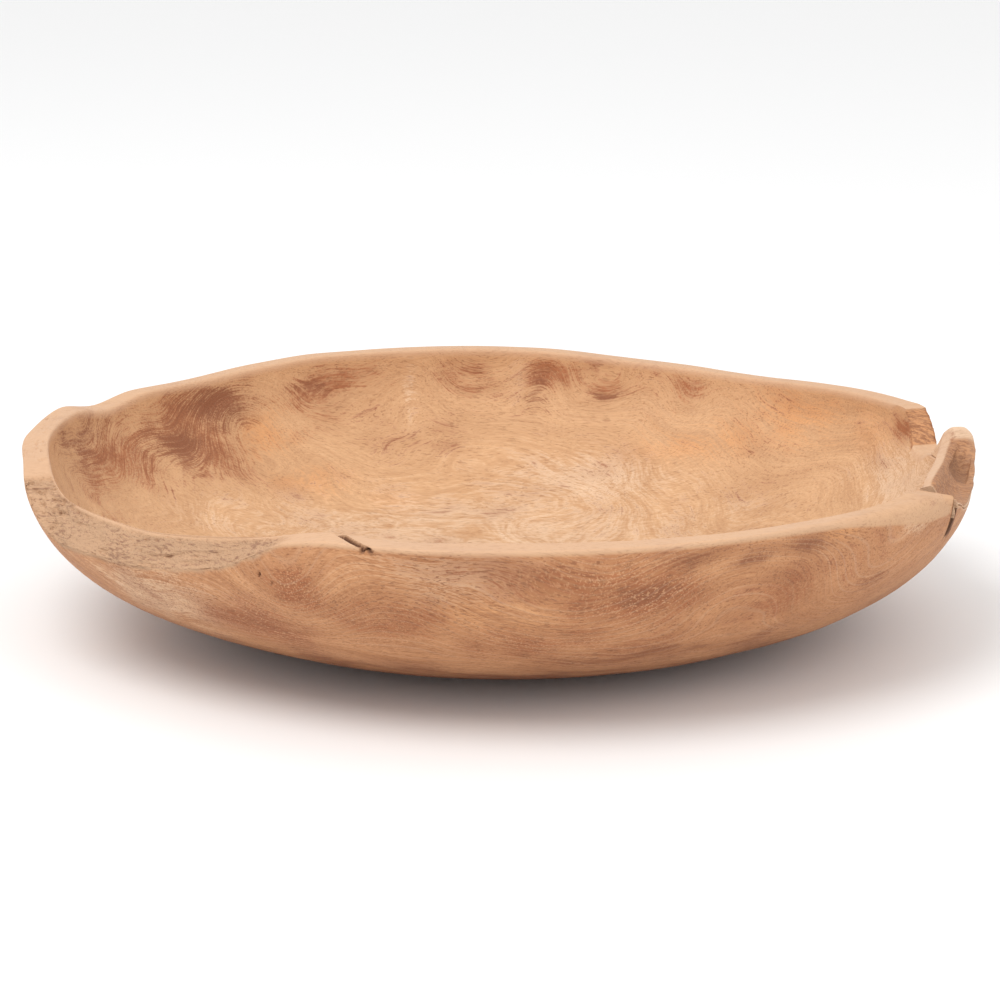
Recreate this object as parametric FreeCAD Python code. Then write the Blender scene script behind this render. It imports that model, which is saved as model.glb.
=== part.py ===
import FreeCAD, Part
import math
import os

from FreeCAD import Vector

# A wide, shallow bowl carved from one teak root. All sizes are in millimetres.
# +Z is up and the flat foot stands on z = 0 with its centre at the origin.
# Angles are in degrees about Z: 0 is the right end (+X), 90 the back (+Y),
# 180 the left end and 270 the front.

# ---- driving dimensions -------------------------------------------------
RIM_HALF_LENGTH = 248.5  # rim ellipse along X
RIM_HALF_WIDTH = 222.0  # rim ellipse along Y
WALL_HEIGHT = 99.0  # height at which the wall stands upright
RIM_OFFSET = -3.5  # the rim's centre lies this far along X from the foot's
FOOT_HALF_LENGTH = 85.5
FOOT_HALF_WIDTH = 75.5
FLOOR_THICKNESS = 15.0
FLOOR_HALF_LENGTH = 70.0
FLOOR_HALF_WIDTH = 62.0
OUTER_POWERS = (1.95, 2.13)  # how full the outside's curve is
INNER_POWERS = (2.0, 2.0)  # the same for the hollow

# Thickness of the wall at the rim, as (angle, thickness).
WALL = ((0, 15.5), (20, 13.5), (90, 13), (150, 14), (163, 16.5), (176, 17), (188, 15), (202, 18.5),
        (216, 15.5), (235, 12.5), (255, 14), (292, 14), (312, 13.5), (325, 17.5), (335, 20.5),
        (346, 20.5))

# How far the natural root swells out of the rim ellipse, as (angle, swell).
SWELL = ((0, 0.5), (30, 0.5), (60, 0), (130, 0), (150, 1), (163, 4), (176, 3.6), (188, 0.8),
         (202, 7), (216, 2), (235, -2), (255, 0), (292, 0), (312, -1.6), (325, 3), (335, 3.3),
         (350, 0.6))

# Height of the rim's outer edge, as (angle, height). The deep dip from 197 to 240
# is the natural face of the root, left rough on the front left.
OUTER_EDGE = ((0, 99), (20, 97), (32, 95.5), (50, 92), (68, 94.8), (85, 99.3), (100, 100.4),
              (118, 100.5), (128, 98.2), (141, 95), (150, 96), (157, 93.3), (165, 99),
              (176, 96.5), (188, 96), (195, 91), (200, 78), (205, 69), (218, 70),
              (229, 75.5), (234, 80), (239, 89), (244, 97.5), (250, 100), (262, 99),
              (300, 99), (320, 98.5), (335, 96))

# Height of the rim's inner edge, as (angle, height).
INNER_EDGE = ((0, 99), (20, 97), (32, 95.5), (50, 92.9), (68, 95.2), (85, 99.3), (100, 100.6),
              (118, 100.7), (128, 98.6), (141, 96), (150, 96.4), (158, 93.4), (168, 99.8),
              (179, 100.3), (190, 98), (196, 90), (202, 87.5), (218, 87.5), (230, 92),
              (240, 97), (248, 101), (258, 99.2), (270, 100), (285, 99), (310, 98), (335, 96.7))

# The right end: a crack, then a loose root lobe, then a worn saddle that stops at
# the broken end of the back wall.
CRACK_ANGLE = -24.5
LOBE_START = -23.0
LOBE_END = 8.0
SADDLE_END = 13.2
SADDLE_HEIGHT = 79.5
END_FACE_TOP = (18.9, 99.0)  # angle and height where the back wall's leaning end face comes out

# The lobe's seat on the wall, as (angle, height inside, height outside).
SEAT = ((LOBE_START, 90, 87), (-18.5, 88, 80), (-10, 86, 76), (0, 84, 76), (LOBE_END, 81, 78))

CRACK_OUTSIDE = 71.0  # lowest point of the crack, on the outside
CRACK_INSIDE = 92.0  # where it comes out inside
CRACK_FOOT_WIDTH = 0.4  # in degrees about Z, at its lowest point

# Two splinters that still bridge the crack, each as (angle, height) corners.
SLIVERS = (
    ((-24.6, 88.5), (-24.6, 86.0), (-23.2, 78.5), (-23.0, 80.5)),
    ((-24.1, 90.0), (-24.1, 88.2), (-22.9, 83.2), (-22.9, 85.0)),
)
SLIVER_DEPTH = 9.0  # how far they reach in from the outside

SCOOP_RADIUS = 13.5  # hollow along the outer side of the lobe
SCOOP_FROM = (-19.5, 249.0, 96.5)  # angle, radius, height
SCOOP_TO = (-8.5, 249.0, 99.0)

CHECK_ANGLE = -109.0  # drying shake across the front rim
CHECK_LENGTH = 26.0
CHECK_WIDTH = 2.6
CHECK_DEPTH = 7.0
CHECK_TURN = 32.0  # its angle across the rim

INSIDE_REACH = 195.0  # radii that clear the wall inside and outside
OUTSIDE_REACH = 275.0
CLEAR_TOP = 130.0  # a height above everything

COLUMNS = 120  # control points round the bowl
OUTER_ROWS = 13
INNER_ROWS = 13


def round_the_bowl(points):
    """A smooth periodic curve through (angle, value) points, with no overshoot."""
    angles = [a + turn for turn in (-360, 0, 360) for a, _ in points]
    values = [v for _ in range(3) for _, v in points]
    steps = [
        (values[i + 1] - values[i]) / (angles[i + 1] - angles[i])
        for i in range(len(angles) - 1)
    ]
    slopes = [0.0]
    for before, after in zip(steps, steps[1:]):
        slopes.append(2 * before * after / (before + after) if before * after > 0 else 0.0)
    slopes.append(0.0)

    def value(angle):
        angle = angle % 360
        i = max(j for j in range(len(angles) - 1) if angles[j] <= angle)
        width = angles[i + 1] - angles[i]
        s = (angle - angles[i]) / width
        start = (2 * s**3 - 3 * s**2 + 1) * values[i] + (3 * s**2 - 2 * s**3) * values[i + 1]
        leave = (s**3 - 2 * s**2 + s) * slopes[i]
        arrive = (s**3 - s**2) * slopes[i + 1]
        return start + width * (leave + arrive)

    return value


wall_at = round_the_bowl(WALL)
swell_at = round_the_bowl(SWELL)
outer_edge_at = round_the_bowl(OUTER_EDGE)
inner_edge_at = round_the_bowl(INNER_EDGE)


def ellipse(angle, half_length, half_width):
    """Radius of an ellipse at an angle."""
    a = math.radians(angle)
    return 1 / math.hypot(math.cos(a) / half_length, math.sin(a) / half_width)


def rim_radius(angle):
    return ellipse(angle, RIM_HALF_LENGTH, RIM_HALF_WIDTH) + swell_at(angle)


def fullness(share, powers):
    """How far out a wall is, from 0 to 1, at a share of its height."""
    outward, upward = powers
    return (1 - max(0.0, 1 - share) ** upward) ** (1 / outward)


def outer_radius(angle, z):
    foot = ellipse(angle, FOOT_HALF_LENGTH, FOOT_HALF_WIDTH)
    return foot + (rim_radius(angle) - foot) * fullness(z / WALL_HEIGHT, OUTER_POWERS)


def inner_radius(angle, z):
    floor = ellipse(angle, FLOOR_HALF_LENGTH, FLOOR_HALF_WIDTH)
    share = (z - FLOOR_THICKNESS) / (WALL_HEIGHT - FLOOR_THICKNESS)
    rim = rim_radius(angle) - wall_at(angle)
    return floor + (rim - floor) * fullness(share, INNER_POWERS)


def place(angle, radius, z):
    """A point from its angle, its radius about the bowl's leaning axis and its height."""
    a = math.radians(angle)
    lean = RIM_OFFSET * min(1.0, max(0.0, z / WALL_HEIGHT))
    return Vector(lean + radius * math.cos(a), radius * math.sin(a), z)


def upright(angle, radius, z):
    """A point from its angle, its radius about the rim's own upright axis and its height."""
    a = math.radians(angle)
    return Vector(RIM_OFFSET + radius * math.cos(a), radius * math.sin(a), z)


def skin(rows, degree):
    """A face that closes on itself round the bowl, from rows of control points."""
    surface = Part.BSplineSurface()
    inner_knots = len(rows) - degree - 1
    surface.buildFromPolesMultsKnots(
        rows,
        [degree + 1] + [1] * inner_knots + [degree + 1],
        [1] * (COLUMNS + 1),
        list(range(inner_knots + 2)),
        list(range(COLUMNS + 1)),
        False,
        True,
        degree,
        3,
    )
    return surface.toShape()


def cap(face, level):
    """The flat face inside the ring edge of a skin at one level."""
    rings = [e for e in face.Edges if abs(e.BoundBox.ZMax - level) < 0.01]
    return Part.Face(Part.Wire([e for e in rings if e.BoundBox.ZLength < 0.01]))


def bowl_blank():
    """The whole bowl with an unbroken wall."""
    angles = [360.0 * i / COLUMNS for i in range(COLUMNS)]
    outside = []
    for row in range(OUTER_ROWS):
        share = (row / (OUTER_ROWS - 1)) ** 2
        heights = [outer_edge_at(a) * share for a in angles]
        outside.append([place(a, outer_radius(a, z), z) for a, z in zip(angles, heights)])
    inside = []
    for row in range(INNER_ROWS):
        share = (row / (INNER_ROWS - 1)) ** 2
        heights = [
            FLOOR_THICKNESS + (inner_edge_at(a) - FLOOR_THICKNESS) * share for a in angles
        ]
        inside.append([place(a, inner_radius(a, z), z) for a, z in zip(angles, heights)])
    outer_face = skin(outside, 3)
    inner_face = skin(inside, 3)
    rim_face = skin([outside[-1], inside[-1]], 1)
    foot = cap(outer_face, 0.0)
    floor = cap(inner_face, FLOOR_THICKNESS)
    shell = Part.makeShell([outer_face, inner_face, rim_face, foot, floor])
    shell.sewShape()
    blank = Part.Solid(shell.Shells[0])
    blank.fix(0.001, 0.001, 0.01)
    if blank.Volume < 0:
        blank.reverse()
    return blank


def reach_out(angle, inside, outside):
    """Floor heights at the wall, carried out along a straight line to a block's own radii."""
    wall_inside = inner_radius(angle, inside)
    wall_outside = outer_radius(angle, outside)
    fall = (outside - inside) / (wall_outside - wall_inside)
    at_inner_reach = inside + fall * (INSIDE_REACH - wall_inside)
    at_outer_reach = outside + fall * (OUTSIDE_REACH - wall_outside)
    return at_inner_reach, at_outer_reach


def block_through(sections):
    """A straight-sided solid through closed outlines, facing outwards."""
    block = Part.makeLoft(sections, True, True)
    if block.Volume < 0:
        block.reverse()
    return block


def sector(stations):
    """A block above a ruled floor, from (angle, height inside, height outside)."""
    sections = []
    for angle, inside, outside in stations:
        low_inside, low_outside = reach_out(angle, inside, outside)
        corners = [
            upright(angle, INSIDE_REACH, low_inside),
            upright(angle, OUTSIDE_REACH, low_outside),
            upright(angle, OUTSIDE_REACH, CLEAR_TOP),
            upright(angle, INSIDE_REACH, CLEAR_TOP),
        ]
        sections.append(Part.makePolygon(corners + corners[:1]))
    return block_through(sections)


def spoke(angle, reach, z):
    """A point at an angle, on the flat plane that faces the crack at one reach."""
    return upright(angle, reach / math.cos(math.radians(angle - CRACK_ANGLE)), z)


def radial_block(inner_corners, outer_corners, inner_reach, outer_reach):
    """A block between two (angle, height) outlines, one at each reach along the crack."""
    sections = []
    for corners, reach in ((inner_corners, inner_reach), (outer_corners, outer_reach)):
        points = [spoke(angle, reach, z) for angle, z in corners]
        sections.append(Part.makePolygon(points + points[:1]))
    return block_through(sections)


def saddle_block():
    """The space above the worn saddle, up to the broken end of the back wall."""
    middle = (LOBE_END + SADDLE_END) / 2
    return sector(
        [
            SEAT[-1],
            (middle, SADDLE_HEIGHT, SADDLE_HEIGHT - 1),
            (SADDLE_END, SADDLE_HEIGHT, SADDLE_HEIGHT),
            (END_FACE_TOP[0], END_FACE_TOP[1], END_FACE_TOP[1]),
        ]
    )


def crack_block():
    """The open crack between the front wall and the lobe, which narrows downwards."""
    foot_inside, foot_outside = reach_out(CRACK_ANGLE, CRACK_INSIDE, CRACK_OUTSIDE)
    seat_inside, seat_outside = reach_out(*SEAT[0])
    outlines = []
    for foot, seat in ((foot_inside, seat_inside), (foot_outside, seat_outside)):
        shoulder = max(seat, foot + 1)
        outlines.append(
            [
                (CRACK_ANGLE, foot),
                (CRACK_ANGLE + CRACK_FOOT_WIDTH, foot),
                (LOBE_START, shoulder),
                (LOBE_START, CLEAR_TOP),
                (CRACK_ANGLE, CLEAR_TOP),
            ]
        )
    return radial_block(*outlines, INSIDE_REACH, OUTSIDE_REACH)


def scoop():
    """A round-ended trough along the lobe's outer face."""
    start = place(*SCOOP_FROM)
    end = place(*SCOOP_TO)
    run = end - start
    trough = Part.makeCylinder(SCOOP_RADIUS, run.Length, start, run)
    for point in (start, end):
        trough = trough.fuse(Part.makeSphere(SCOOP_RADIUS, point))
    return trough


def rim_check():
    """A narrow wedge that opens upwards, cut across the front rim."""
    low = -CHECK_DEPTH
    high = CHECK_DEPTH
    corners = [
        Vector(0, 0, low),
        Vector(0, CHECK_WIDTH, high),
        Vector(0, -CHECK_WIDTH, high),
        Vector(0, 0, low),
    ]
    wedge = Part.Face(Part.makePolygon(corners)).extrude(Vector(CHECK_LENGTH, 0, 0))
    wedge.translate(Vector(-CHECK_LENGTH / 2, 0, 0))
    wedge.rotate(Vector(0, 0, 0), Vector(0, 0, 1), CHECK_ANGLE + CHECK_TURN)
    top = outer_edge_at(CHECK_ANGLE)
    wedge.translate(place(CHECK_ANGLE, rim_radius(CHECK_ANGLE) - wall_at(CHECK_ANGLE) / 2, top))
    return wedge


def slivers(blank, crack):
    """The splinters, cut off flush at the crack's sides and at the bowl's outside."""
    pieces = []
    inner_reach = rim_radius(CRACK_ANGLE) - SLIVER_DEPTH
    for corners in SLIVERS:
        block = radial_block(corners, corners, inner_reach, OUTSIDE_REACH)
        pieces += blank.common(crack).common(block).Solids
    return Part.makeCompound(pieces)


def export(shape, node):
    shape.exportStep("parts/" + node + ".step")
    box = shape.BoundBox
    print(node, "solids", len(shape.Solids), "valid", shape.isValid(), "volume", round(shape.Volume))
    print("   x", round(box.XMin, 1), round(box.XMax, 1), "y", round(box.YMin, 1), round(box.YMax, 1),
          "z", round(box.ZMin, 1), round(box.ZMax, 1))


os.makedirs("parts", exist_ok=True)
blank = bowl_blank()
seat = sector(SEAT)
crack = crack_block()
body = blank.cut(seat).cut(saddle_block()).cut(crack).cut(rim_check())
export(body, "bowl_body")
export(blank.common(seat).cut(scoop()), "root_lobe")
export(slivers(blank, crack), "split_slivers")
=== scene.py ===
import math

import bpy
import numpy as np
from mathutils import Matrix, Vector


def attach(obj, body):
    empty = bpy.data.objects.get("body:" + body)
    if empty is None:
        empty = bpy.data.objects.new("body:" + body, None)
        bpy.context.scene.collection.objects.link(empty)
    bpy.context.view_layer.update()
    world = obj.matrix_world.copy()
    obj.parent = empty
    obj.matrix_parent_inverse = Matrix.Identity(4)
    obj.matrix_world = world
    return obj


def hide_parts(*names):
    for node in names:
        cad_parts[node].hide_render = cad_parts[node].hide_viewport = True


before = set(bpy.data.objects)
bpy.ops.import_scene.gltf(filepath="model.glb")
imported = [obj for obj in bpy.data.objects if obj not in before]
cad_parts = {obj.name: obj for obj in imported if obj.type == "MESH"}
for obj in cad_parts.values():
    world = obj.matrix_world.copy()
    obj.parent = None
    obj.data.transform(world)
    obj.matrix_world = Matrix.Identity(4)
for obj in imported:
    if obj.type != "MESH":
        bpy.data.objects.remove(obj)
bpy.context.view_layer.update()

# Shapes are worked out in millimetres and turned into metres when a mesh is made.
# Angles are in degrees about Z: 0 is the right end (+X), 90 the back (+Y),
# 180 the left end and 270 (or -90) the front.
MM = 0.001

# ---- the bowl's own dimensions, as in the CAD part ------------------------
RIM_HALF_LENGTH = 248.5
RIM_HALF_WIDTH = 222.0
WALL_HEIGHT = 99.0
RIM_OFFSET = -3.5
FOOT_HALF_LENGTH = 85.5
FOOT_HALF_WIDTH = 75.5
FLOOR_THICKNESS = 15.0
FLOOR_HALF_LENGTH = 70.0
FLOOR_HALF_WIDTH = 62.0
OUTER_POWERS = (1.95, 2.13)
INNER_POWERS = (2.0, 2.0)

WALL = ((0, 15.5), (20, 13.5), (90, 13), (150, 14), (163, 16.5), (176, 17), (188, 15), (202, 18.5),
        (216, 15.5), (235, 12.5), (255, 14), (292, 14), (312, 13.5), (325, 17.5), (335, 20.5),
        (346, 20.5))
SWELL = ((0, 0.5), (30, 0.5), (60, 0), (130, 0), (150, 1), (163, 4), (176, 3.6), (188, 0.8),
         (202, 7), (216, 2), (235, -2), (255, 0), (292, 0), (312, -1.6), (325, 3), (335, 3.3),
         (350, 0.6))
OUTER_EDGE = ((0, 99), (20, 97), (32, 95.5), (50, 92), (68, 94.8), (85, 99.3), (100, 100.4),
              (118, 100.5), (128, 98.2), (141, 95), (150, 96), (157, 93.3), (165, 99),
              (176, 96.5), (188, 96), (195, 91), (200, 78), (205, 69), (218, 70),
              (229, 75.5), (234, 80), (239, 89), (244, 97.5), (250, 100), (262, 99),
              (300, 99), (320, 98.5), (335, 96))
INNER_EDGE = ((0, 99), (20, 97), (32, 95.5), (50, 92.9), (68, 95.2), (85, 99.3), (100, 100.6),
              (118, 100.7), (128, 98.6), (141, 96), (150, 96.4), (158, 93.4), (168, 99.8),
              (179, 100.3), (190, 98), (196, 90), (202, 87.5), (218, 87.5), (230, 92),
              (240, 97), (248, 101), (258, 99.2), (270, 100), (285, 99), (310, 98), (335, 96.7))

# The right end, from the front wall's end round to the back wall's broken end, as
# (angle, height inside, height outside) of the bowl body's own top. Angles past 360 go on
# round the back.
RIM_DROP_START = 331.0  # where the front rim starts to sink to the right end's first heights
RIGHT_END = ((335.25, 94.5, 93.5), (335.6, 91.5, 70.5), (336.0, 91, 71.0), (336.8, 90, 86),
             (341.5, 88, 79.5), (350, 86, 75.5), (360, 84, 75.5), (368, 80.5, 77.5),
             (371.5, 79.3, 78.2), (373.1, 79.5, 79.0), (373.5, 80.4, 80.4), (377.6, 95.4, 95.6),
             (377.9, 96.6, 96.5), (379.4, 97, 96.9))


def round_the_bowl(points):
    """A smooth periodic curve through (angle, value) points, with no overshoot."""
    angles = np.array([a + turn for turn in (-360, 0, 360) for a, _ in points], float)
    values = np.array([v for _ in range(3) for _, v in points], float)
    return curve_through(angles, values, 360.0)


def curve_through(places, values, period=None):
    """A smooth curve through values at rising places, with no overshoot."""
    places = np.asarray(places, float)
    values = np.asarray(values, float)
    steps = np.diff(values) / np.diff(places)
    before = steps[:-1]
    after = steps[1:]
    both = before * after
    safe = np.where(np.abs(before + after) > 1e-9, before + after, 1.0)
    slopes = np.concatenate([[0.0], np.where(both > 0, 2 * both / safe, 0.0), [0.0]])

    def value(at):
        at = np.asarray(at, float)
        if period:
            at = np.mod(at, period)
        at = np.clip(at, places[0], places[-1])
        i = np.clip(np.searchsorted(places, at, side="right") - 1, 0, len(places) - 2)
        width = places[i + 1] - places[i]
        s = (at - places[i]) / width
        start = (2 * s**3 - 3 * s**2 + 1) * values[i] + (3 * s**2 - 2 * s**3) * values[i + 1]
        bend = (s**3 - 2 * s**2 + s) * slopes[i] + (s**3 - s**2) * slopes[i + 1]
        return start + width * bend

    return value


wall_at = round_the_bowl(WALL)
swell_at = round_the_bowl(SWELL)
outer_edge_at = round_the_bowl(OUTER_EDGE)
inner_edge_at = round_the_bowl(INNER_EDGE)
end_inside = curve_through([p[0] for p in RIGHT_END], [p[1] for p in RIGHT_END])
end_outside = curve_through([p[0] for p in RIGHT_END], [p[2] for p in RIGHT_END])


def smooth(low, high, value):
    """0 below low, 1 above high, and smooth between."""
    s = np.clip((np.asarray(value, float) - low) / (high - low), 0, 1)
    return s * s * (3 - 2 * s)


def between(low, high, edge, value):
    """1 from low to high, falling smoothly to 0 over edge outside them."""
    return smooth(low - edge, low, value) * (1 - smooth(high, high + edge, value))


def ellipse(angle, half_length, half_width):
    a = np.radians(angle)
    return 1 / np.hypot(np.cos(a) / half_length, np.sin(a) / half_width)


def rim_radius(angle):
    return ellipse(angle, RIM_HALF_LENGTH, RIM_HALF_WIDTH) + swell_at(angle)


def fullness(share, powers):
    outward, upward = powers
    return (1 - np.clip(1 - share, 0, 1) ** upward) ** (1 / outward)


def outer_radius(angle, z):
    foot = ellipse(angle, FOOT_HALF_LENGTH, FOOT_HALF_WIDTH)
    return foot + (rim_radius(angle) - foot) * fullness(z / WALL_HEIGHT, OUTER_POWERS)


def inner_radius(angle, z):
    floor = ellipse(angle, FLOOR_HALF_LENGTH, FLOOR_HALF_WIDTH)
    share = (z - FLOOR_THICKNESS) / (WALL_HEIGHT - FLOOR_THICKNESS)
    rim = rim_radius(angle) - wall_at(angle)
    return floor + (rim - floor) * fullness(share, INNER_POWERS)


def place(angle, radius, z):
    """Points from angles, radii about the bowl's leaning axis and heights."""
    a = np.radians(angle)
    lean = RIM_OFFSET * np.clip(z / WALL_HEIGHT, 0, 1)
    x = lean + radius * np.cos(a)
    y = radius * np.sin(a)
    return np.stack([x, y, z + 0 * x], -1)


# ---- smooth random values ---------------------------------------------------
DIRECTIONS = np.random.default_rng(7).normal(size=(256, 3))
DIRECTIONS /= np.linalg.norm(DIRECTIONS, axis=1)[:, None]
PRIMES = (73856093, 19349663, 83492791)


def noise(points, size, seed=0):
    """Smooth random values from about -1 to 1, with features of the given size."""
    p = np.asarray(points, float) / size + 31.7 * seed
    cell = np.floor(p).astype(np.int64)
    local = p - cell
    fade = local**3 * (local * (local * 6 - 15) + 10)
    total = np.zeros(p.shape[:-1])
    for dx in (0, 1):
        for dy in (0, 1):
            for dz in (0, 1):
                corner = np.array([dx, dy, dz])
                mixed = (cell + corner) * np.array(PRIMES)
                pick = (mixed[..., 0] ^ mixed[..., 1] ^ mixed[..., 2]) & 255
                pull = (DIRECTIONS[pick] * (local - corner)).sum(-1)
                weight = np.where(corner, fade, 1 - fade).prod(-1)
                total += pull * weight
    return total * 1.7


def layers(points, size, seed=0, count=3):
    """Noise with finer layers added, each half the size and half the strength."""
    total = 0.0
    for k in range(count):
        total = total + noise(points, size / 2**k, seed + k) / 2**k
    return total


# ---- mesh making --------------------------------------------------------------
def spread_columns(zones, count):
    """count angles round the bowl, closer together where zones ask for it.
    zones holds (from angle, to angle, spacing) in turn."""
    edges = [zones[0][0]]
    weights = [0.0]
    for start, end, spacing in zones:
        edges.append(end)
        weights.append(weights[-1] + (end - start) / spacing)
    wanted = np.arange(count) * weights[-1] / count
    return np.interp(wanted, weights, edges)


def ring_mesh(name, rings):
    """A mesh through rings of points. A ring may hold half as many points as the one
    before it or after it. The first and the last ring are closed with a fan."""
    points = []
    faces = []
    starts = []
    for ring in rings:
        starts.append(len(points))
        points.extend(ring)
    for k in range(len(rings) - 1):
        a, b = starts[k], starts[k + 1]
        n, m = len(rings[k]), len(rings[k + 1])
        if n == m:
            for i in range(n):
                j = (i + 1) % n
                faces.append((a + i, a + j, b + j, b + i))
        elif n == 2 * m:
            for i in range(m):
                j = (i + 1) % m
                i0, i1, i2 = a + 2 * i, a + 2 * i + 1, a + (2 * i + 2) % n
                faces += [(i0, i1, b + i), (i1, b + j, b + i), (i1, i2, b + j)]
        else:
            for i in range(n):
                j = (i + 1) % n
                i0, i1, i2 = b + 2 * i, b + 2 * i + 1, b + (2 * i + 2) % m
                faces += [(a + i, i1, i0), (a + i, a + j, i1), (a + j, i2, i1)]
    for ring, start, flip in ((rings[0], starts[0], True), (rings[-1], starts[-1], False)):
        centre = len(points)
        points.append(np.mean(ring, axis=0))
        n = len(ring)
        for i in range(n):
            fan = (start + i, start + (i + 1) % n, centre)
            faces.append(fan[::-1] if flip else fan)
    mesh = bpy.data.meshes.new(name)
    mesh.from_pydata([tuple(p) for p in np.array(points) * MM], [], faces)
    mesh.validate()
    piece = bpy.data.objects.new(name, mesh)
    bpy.context.scene.collection.objects.link(piece)
    return piece


def grid_normals(grid):
    """Outward unit normals of a (rows, columns, 3) grid that closes on itself in columns."""
    along = np.roll(grid, -1, axis=1) - np.roll(grid, 1, axis=1)
    up = np.gradient(grid, axis=0)
    normal = np.cross(along, up)
    size = np.linalg.norm(normal, axis=-1, keepdims=True)
    return normal / np.maximum(size, 1e-9)


def shade(piece, angle=38.0):
    """Smooth shading, with edges sharper than an angle kept crisp."""
    mesh = piece.data
    mesh.polygons.foreach_set("use_smooth", [True] * len(mesh.polygons))
    mesh.set_sharp_from_angle(angle=math.radians(angle))


# ---- the bowl body ---------------------------------------------------------------
COLUMNS = 768
LOW_OUTSIDE = 58.0  # below this height the outside's rows are level
LOW_INSIDE = 50.0  # and below this one the inside's rows are
FLAT_SHARES = (0.25, 0.5, 0.75)  # rings on the flat foot and floor, as shares of its size
# How many rows of points each part of the wall's section has.
LOW_OUTER_ROWS = 30
HIGH_OUTER_ROWS = 25
CORNER_ROWS = 4
RIM_ROWS = 27
HIGH_INNER_ROWS = 20
LOW_INNER_ROWS = 26
# How many columns each row skips, from the foot up to where the rows get dense, so that
# the faces stay about square near the middle.
OUTER_STEPS = [64, 32, 16] + [8] * 7 + [4] * 9 + [2] * 10
INNER_STEPS = [2] * 8 + [4] * 9 + [8] * 7 + [16, 32, 64]

# Angles and spacings: the smaller the spacing, the closer together the columns.
COLUMN_ZONES = (
    (19.4, 24, 3.0),
    (24, 165, 4.6),
    (165, 190, 2.0),
    (190, 244, 1.15),
    (244, 256, 0.7),
    (256, 318, 4.6),
    (318, 334.9, 1.6),
    (334.9, 337.3, 0.4),
    (337.3, 368, 3.2),
    (368, 372.6, 1.6),
    (372.6, 379.4, 0.5),
)
# Rounding of the rim's outer and inner edges, as (angle, radius).
ROUND_OUT = ((19.4, 1.0), (22, 2.2), (100, 2.4), (160, 2.8), (192, 2.4), (199, 1.2), (238, 1.2),
             (250, 2), (300, 2.4), (314, 4), (322, 7.5), (330, 11), (334.6, 8.5), (335.3, 0.8),
             (337, 0.5), (367, 0.5), (369, 4), (373, 2.5), (374, 0.8), (379.4, 1.0))
ROUND_IN = ((19.4, 1.0), (22, 3), (100, 3), (160, 3.4), (192, 3), (199, 1.8), (238, 1.8),
            (250, 2.4), (300, 2.6), (322, 3.6), (334.6, 3), (335.3, 0.8), (337, 0.5),
            (367, 0.5), (369, 5), (373, 2.5), (374, 0.8), (379.4, 1.0))

# Where things are round the rim, as (from angle, to angle).
END_TOP = (170, 195)
KNOB = (195.5, 202.5)
ROUGH_FACE = (199, 240)
NOSE = (322, 336)
CRACK = (335.5, 336.6)
CRACK_BOTTOM = (69.5, 72)  # heights between which its faces begin
LOBE_SEAM = (336.9, 369.0)
TORN_FACE = (373.6, 377.6)

# The drying shake across the front rim: where it meets the inner and the outer edge.
SHAKE_INSIDE = 248.6
SHAKE_OUTSIDE = 254.0
SHAKE_DEPTH = 4.4
SHAKE_WIDTH = 2.1

# Old borer holes in the outer wall near the rough face, as (angle, height, radius).
BORER_HOLES = ((239.6, 79.0, 0.9), (241.2, 74.5, 0.7), (253.6, 96.2, 1.2))
BORER_DEPTH = 2.2


def body_top(angle):
    """Heights of the body's outer and inner top edges."""
    end_start, end_height_in, end_height_out = RIGHT_END[0]
    blend = smooth(RIM_DROP_START, end_start, angle)
    outside = outer_edge_at(angle) + (end_height_out - OUTER_EDGE[-1][1]) * blend
    inside = inner_edge_at(angle) + (end_height_in - INNER_EDGE[-1][1]) * blend
    in_right_end = angle > end_start
    outside = np.where(in_right_end, end_outside(angle), outside)
    inside = np.where(in_right_end, end_inside(angle), inside)
    return outside, inside


def corner_rows(before, corner, after, count):
    """Rows that round a corner from one row of points to another."""
    rows = []
    for t in np.linspace(0, 1, count + 2)[1:-1]:
        rows.append((1 - t) ** 2 * before + 2 * t * (1 - t) * corner + t**2 * after)
    return rows


def toward(start, end, distance):
    """Points a distance from start towards end."""
    run = end - start
    length = np.linalg.norm(run, axis=-1, keepdims=True)
    return start + run * np.minimum(distance[:, None] / length, 0.45)


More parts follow.
